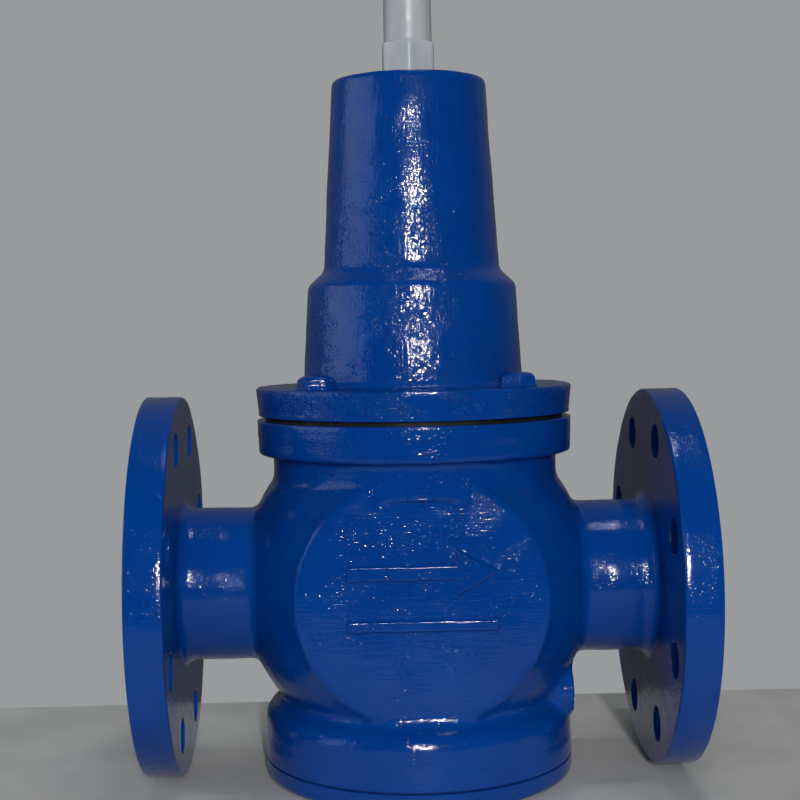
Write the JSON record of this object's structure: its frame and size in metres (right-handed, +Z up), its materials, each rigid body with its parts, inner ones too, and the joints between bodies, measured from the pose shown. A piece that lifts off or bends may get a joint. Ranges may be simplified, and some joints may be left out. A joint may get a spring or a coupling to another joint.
{
  "type": "pressure reducing valve",
  "caption": "Flanged direct-acting valve that throttles a water line and holds its outlet pressure with a spring-loaded diaphragm set by a top screw.",
  "frame": {"origin": "centre of the box on the underside, straight below the stem axis", "axes": "+X from the inlet to the outlet along the ports, +Z up along the stem, +Y towards the back pad"},
  "size_m": [0.29, 0.2, 0.432],
  "materials": {
    "enamel": "gloss blue enamel over sand-cast iron",
    "bronze": "turned bronze",
    "rubber": "black moulded rubber",
    "spring_steel": "oil-blackened spring wire",
    "zinc_steel": "zinc-plated steel",
    "stainless": "turned stainless steel",
    "milky_plastic": "translucent milky polyethylene"
  },
  "bodies": {
    "housing": {"valve_body": "enamel", "drain_plug": "enamel", "seat_ring": "bronze", "seat_o_ring": "rubber", "guide_plate": "bronze", "guide_bush": "bronze", "guide_bush_o_ring": "rubber", "guide_retaining_ring": "spring_steel", "bottom_cover": "enamel", "cover_gasket": "rubber", "cover_screws": "zinc_steel", "bottom_guide_bush": "bronze", "bonnet": "enamel", "bonnet_bolts": "enamel", "diaphragm": "rubber", "lock_washer": "zinc_steel", "return_spring": "spring_steel"},
    "trim": {"stem": "stainless", "disc_holder": "bronze", "disc_seal": "rubber", "disc_retainer": "bronze", "disc_nut": "stainless", "lower_diaphragm_plate": "zinc_steel", "upper_diaphragm_plate": "zinc_steel", "diaphragm_washer": "zinc_steel", "diaphragm_nut": "zinc_steel", "main_spring": "spring_steel"},
    "spring_seat": {"upper_spring_seat": "zinc_steel", "thrust_ball": "stainless"},
    "screw": {"adjusting_screw": "zinc_steel"},
    "lock_nut": {"lock_nut": "zinc_steel"},
    "screw_cap": {"screw_cap": "milky_plastic"}
  },
  "joints": [
    {"name": "valve_lift", "type": "slide", "parent": "housing", "child": "trim", "axis": [0, 0, -1], "range_m": [0, 0.015], "stiffness_N_per_m": 4000, "springref_m": -0.01, "deforming": ["main_spring", "return_spring", "diaphragm"]},
    {"name": "screw_travel", "type": "slide", "parent": "housing", "child": "spring_seat", "axis": [0, 0, -1], "range_m": [0, 0.0175], "deforming": ["main_spring"]},
    {"name": "screw_turn", "type": "hinge", "parent": "spring_seat", "child": "screw", "pos_m": [0, 0, 0.367], "axis": [0, 0, -1], "range_deg": [0, 3600]},
    {"name": "lock_nut_turn", "type": "hinge", "parent": "housing", "child": "lock_nut", "pos_m": [0, 0, 0.3715], "axis": [0, 0, 1], "range_deg": [0, 720]},
    {"name": "cap_pull", "type": "slide", "parent": "lock_nut", "child": "screw_cap", "axis": [0, 0, 1], "range_m": [0, 0.075]}
  ],
  "couplings": [
    {"joint": "screw_turn", "follows": "screw_travel", "rad_per_m": 3590.4}
  ]
}
